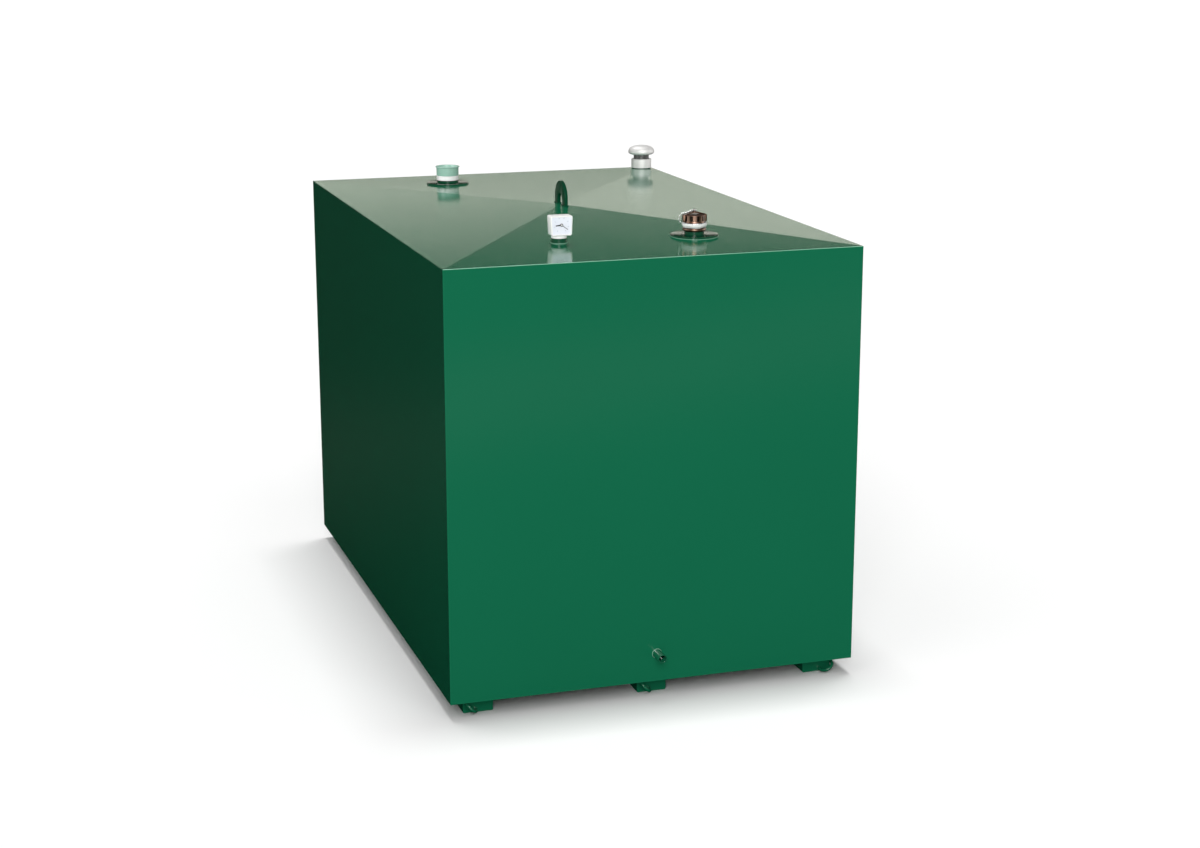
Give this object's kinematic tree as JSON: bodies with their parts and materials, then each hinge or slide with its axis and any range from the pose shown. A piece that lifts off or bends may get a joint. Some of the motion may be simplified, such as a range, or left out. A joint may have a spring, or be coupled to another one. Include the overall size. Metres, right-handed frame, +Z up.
{
  "type": "box-shaped steel oil storage tank",
  "caption": "Green steel oil storage tank: a closed box on three skids, with a shallow peaked top, fill point, dip point, contents gauge, vent and lifting eye, and a low outlet pipe.",
  "frame": {"origin": "on the ground under the middle of the tank, on the underside of the centre skid", "axes": "+Z up, -Y towards the end wall with the outlet, +X to the right seen from that end"},
  "size_m": [1.2251, 1.8847, 1.3706],
  "materials": {
    "green_coat": "semi-gloss powder coat with a fine orange-peel grain",
    "bronze": "brown bronze, satin",
    "aluminium": "cast and machined, bright satin",
    "shaded_metal": "dull grey gauze and casting under the vent cap",
    "chain_steel": "bright plated",
    "white_plastic": "smooth moulded",
    "white_seal": "smooth soft washer",
    "pale_green_plastic": "slightly clear moulded cap",
    "dial_face": "printed dial, smooth",
    "black_plastic": "matt",
    "grey_plastic": "matt"
  },
  "bodies": {
    "root": {"front_wall": "green_coat", "back_wall": "green_coat", "left_wall": "green_coat", "right_wall": "green_coat", "floor_plate": "green_coat", "roof_panel": "green_coat", "left_skid": "green_coat", "centre_skid": "green_coat", "right_skid": "green_coat", "left_front_loop": "green_coat", "left_rear_loop": "green_coat", "centre_front_loop": "green_coat", "centre_rear_loop": "green_coat", "right_front_loop": "green_coat", "right_rear_loop": "green_coat", "outlet_nipple": "green_coat", "lifting_eye": "green_coat", "fill_flange": "green_coat", "fill_socket": "green_coat", "fill_base_ring": "bronze", "fill_seal": "white_seal", "fill_cap": "bronze", "cap_chain": "chain_steel", "dip_flange": "green_coat", "dip_socket": "green_coat", "dip_seal": "white_seal", "dip_cap": "pale_green_plastic", "gauge_socket": "green_coat", "gauge_collar": "white_plastic", "gauge_housing": "white_plastic", "gauge_dial": "dial_face", "gauge_hub": "grey_plastic", "gauge_needle": "black_plastic", "gauge_marker": "grey_plastic", "vent_body": "aluminium", "vent_neck": "shaded_metal", "vent_cap": "aluminium"}
  },
  "joints": []
}
